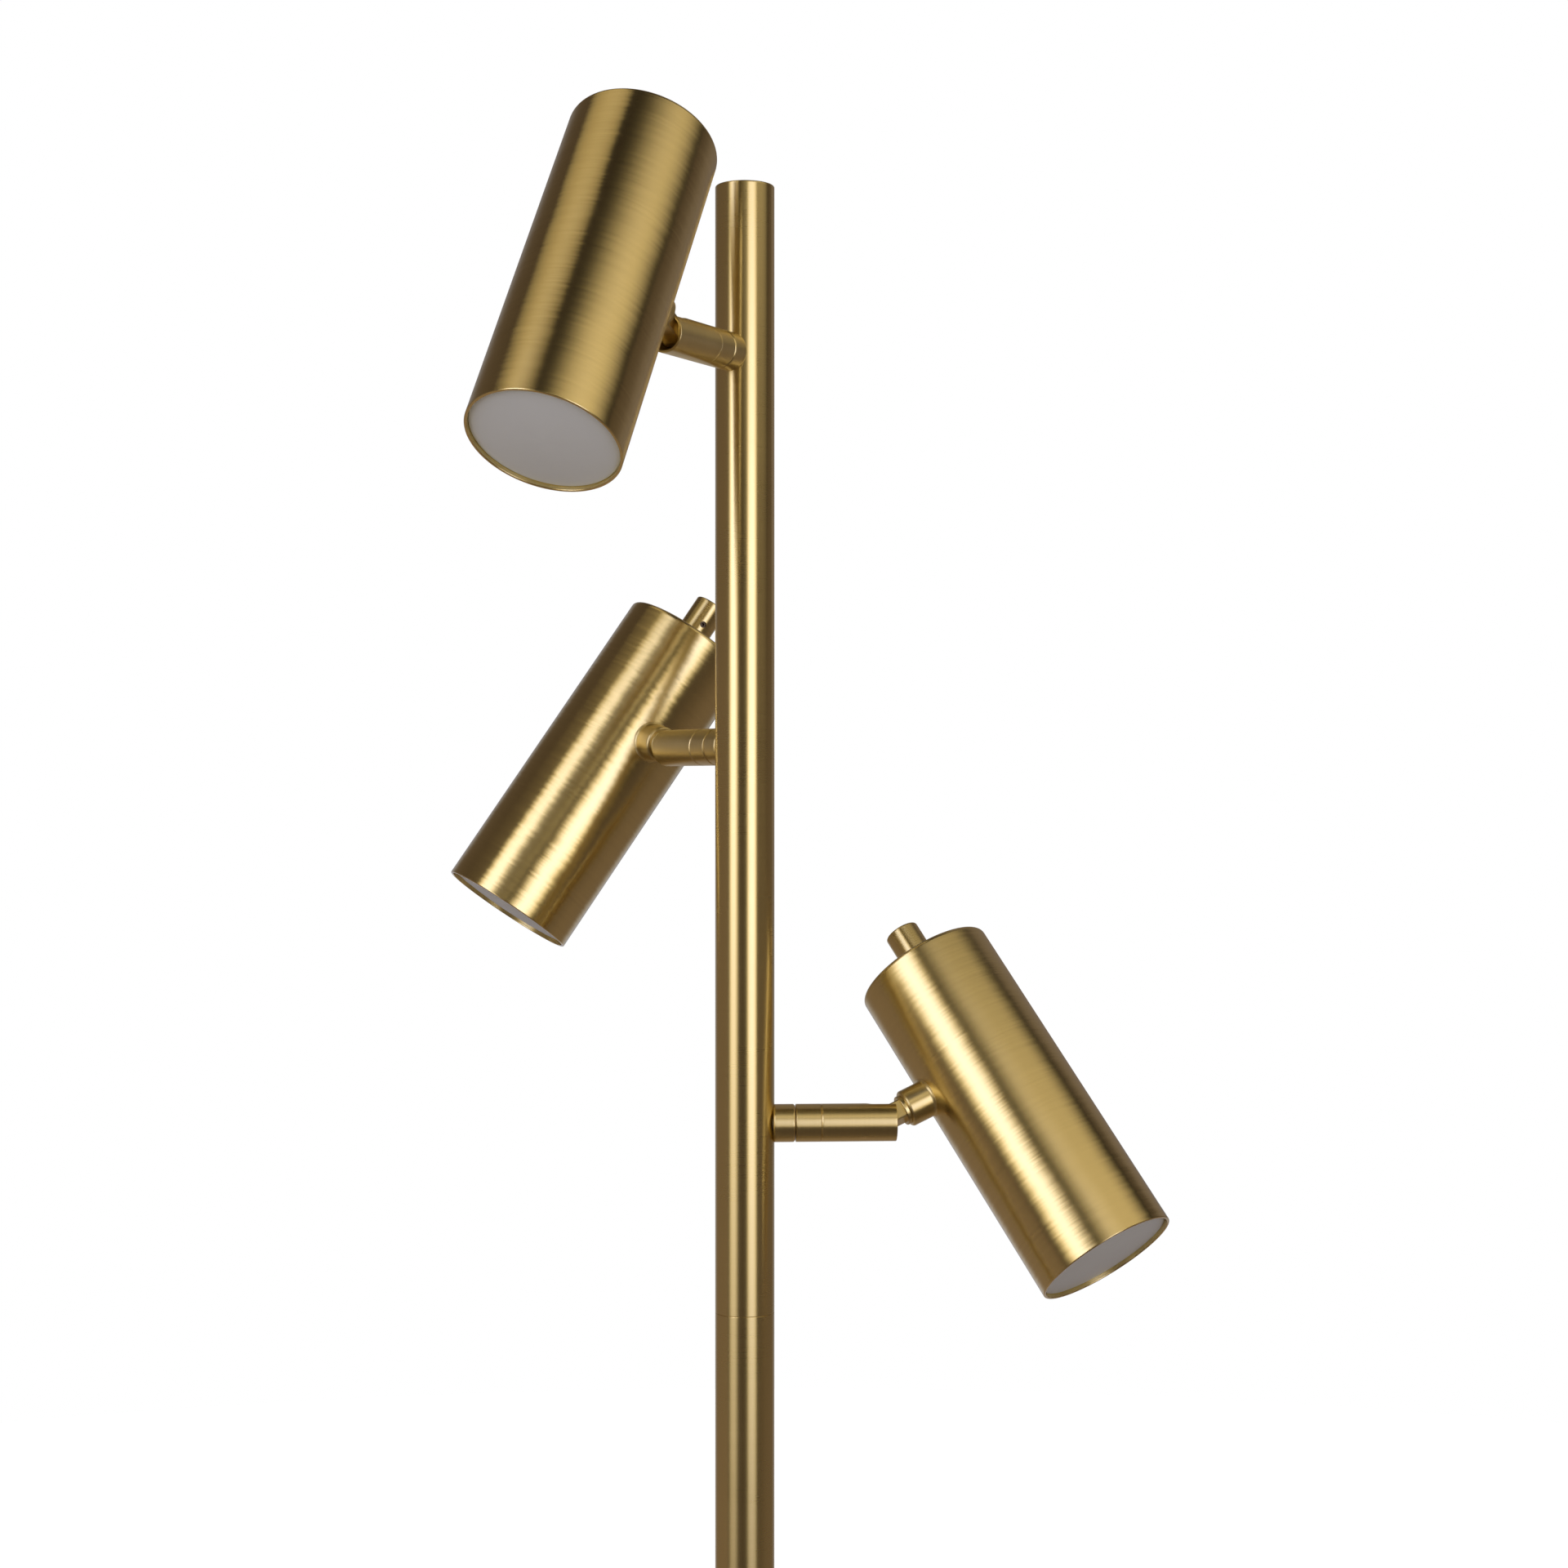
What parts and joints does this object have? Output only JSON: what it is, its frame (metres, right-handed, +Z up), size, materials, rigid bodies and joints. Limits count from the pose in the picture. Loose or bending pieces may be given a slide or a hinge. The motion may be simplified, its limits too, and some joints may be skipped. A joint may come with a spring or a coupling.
{
  "type": "floor lamp",
  "caption": "Brass floor lamp: a slim pole on a round weighted base, with swivelling arms and tilting cylindrical spot heads, each with a rotary knob.",
  "frame": {"origin": "on the floor under the pole's axis, in the middle of the pad's underside", "axes": "+Z up the pole, +X to the viewer's right and +Y away from the viewer, as pictured"},
  "size_m": [0.3118, 0.2964, 1.4727],
  "materials": {
    "pole_brass": "satin, brushed along the tube",
    "arm_brass": "satin, turned",
    "head_brass": "satin, brushed round the shell",
    "knob_brass": "satin, turned",
    "base_brass": "satin, spun",
    "machined_brass": "as machined",
    "steel": "zinc plated",
    "dark_steel": "black oxide",
    "iron": "black paint",
    "aluminium": "plain",
    "opal": "opal",
    "board_white": "matt",
    "black_plastic": "matt",
    "cable_black": "matt",
    "felt": "felt"
  },
  "bodies": {
    "stand": {"base_pad": "felt", "base_weight": "iron", "base_cover": "base_brass", "base_nut": "steel", "pole_stem": "machined_brass", "foot_collar": "base_brass", "lower_pole": "pole_brass", "middle_pole": "pole_brass", "upper_pole": "pole_brass", "pole_joiners": "machined_brass", "top_cap": "pole_brass", "cord_inlet": "black_plastic", "pole_cable": "cable_black", "arm_collars": "arm_brass", "swivel_bolts": "steel"},
    "upper_arm": {"upper_swivel_ring": "arm_brass", "upper_fork": "machined_brass", "upper_hinge_pins": "steel", "upper_arm_tube": "arm_brass"},
    "upper_head": {"upper_tongue": "machined_brass", "upper_boss": "arm_brass", "upper_shade": "head_brass", "upper_diffuser": "opal", "upper_led_board": "board_white", "upper_heat_sink": "aluminium", "upper_switch": "black_plastic", "upper_lock_nuts": "steel"},
    "upper_knob": {"upper_spindle": "steel", "upper_knob": "knob_brass", "upper_knob_screw": "dark_steel"},
    "middle_arm": {"middle_swivel_ring": "arm_brass", "middle_fork": "machined_brass", "middle_hinge_pins": "steel", "middle_arm_tube": "arm_brass"},
    "middle_head": {"middle_tongue": "machined_brass", "middle_boss": "arm_brass", "middle_shade": "head_brass", "middle_diffuser": "opal", "middle_led_board": "board_white", "middle_heat_sink": "aluminium", "middle_switch": "black_plastic", "middle_lock_nuts": "steel"},
    "middle_knob": {"middle_spindle": "steel", "middle_knob": "knob_brass", "middle_knob_screw": "dark_steel"},
    "lower_arm": {"lower_swivel_ring": "arm_brass", "lower_fork": "machined_brass", "lower_hinge_pins": "steel", "lower_arm_tube": "arm_brass"},
    "lower_head": {"lower_tongue": "machined_brass", "lower_boss": "arm_brass", "lower_shade": "head_brass", "lower_diffuser": "opal", "lower_led_board": "board_white", "lower_heat_sink": "aluminium", "lower_switch": "black_plastic", "lower_lock_nuts": "steel"},
    "lower_knob": {"lower_spindle": "steel", "lower_knob": "knob_brass", "lower_knob_screw": "dark_steel"}
  },
  "joints": [
    {"name": "upper_arm_swivel", "type": "hinge", "parent": "stand", "child": "upper_arm", "pos_m": [-0.01268, -0.0227, 1.3784], "axis": [-0.4879, -0.8729, 0], "range_deg": [-162.6, 157.4]},
    {"name": "upper_head_tilt", "type": "hinge", "parent": "upper_arm", "child": "upper_head", "pos_m": [-0.02781, -0.04976, 1.3784], "axis": [-0.872, 0.4874, -0.0454], "range_deg": [-41.4, 28.6]},
    {"name": "upper_knob_turn", "type": "hinge", "parent": "upper_head", "child": "upper_knob", "pos_m": [-0.03803, -0.06069, 1.45748], "axis": [0.2204, 0.4737, 0.8527], "range_deg": [0, 270]},
    {"name": "middle_arm_swivel", "type": "hinge", "parent": "stand", "child": "middle_arm", "pos_m": [-0.01424, 0.02176, 1.2136], "axis": [-0.5476, 0.8368, 0], "range_deg": [-193.8, 126.2]},
    {"name": "middle_head_tilt", "type": "hinge", "parent": "middle_arm", "child": "middle_head", "pos_m": [-0.03121, 0.0477, 1.2136], "axis": [0.6953, 0.455, -0.5563], "range_deg": [-18.4, 51.6]},
    {"name": "middle_knob_turn", "type": "hinge", "parent": "middle_head", "child": "middle_knob", "pos_m": [-0.0242, 0.10524, 1.26944], "axis": [0.5405, 0.1791, 0.8221], "range_deg": [0, 270]},
    {"name": "lower_arm_swivel", "type": "hinge", "parent": "stand", "child": "lower_arm", "pos_m": [0.02595, 0.00163, 1.0544], "axis": [0.998, 0.0628, 0], "range_deg": [-130.1, 189.9]},
    {"name": "lower_head_tilt", "type": "hinge", "parent": "lower_arm", "child": "lower_head", "pos_m": [0.05689, 0.00358, 1.0544], "axis": [0.0544, -0.8652, 0.4985], "range_deg": [-37.1, 32.9]},
    {"name": "lower_knob_turn", "type": "hinge", "parent": "lower_head", "child": "lower_knob", "pos_m": [0.07484, 0.04359, 1.12189], "axis": [-0.4825, 0.4143, 0.7717], "range_deg": [0, 270]}
  ]
}
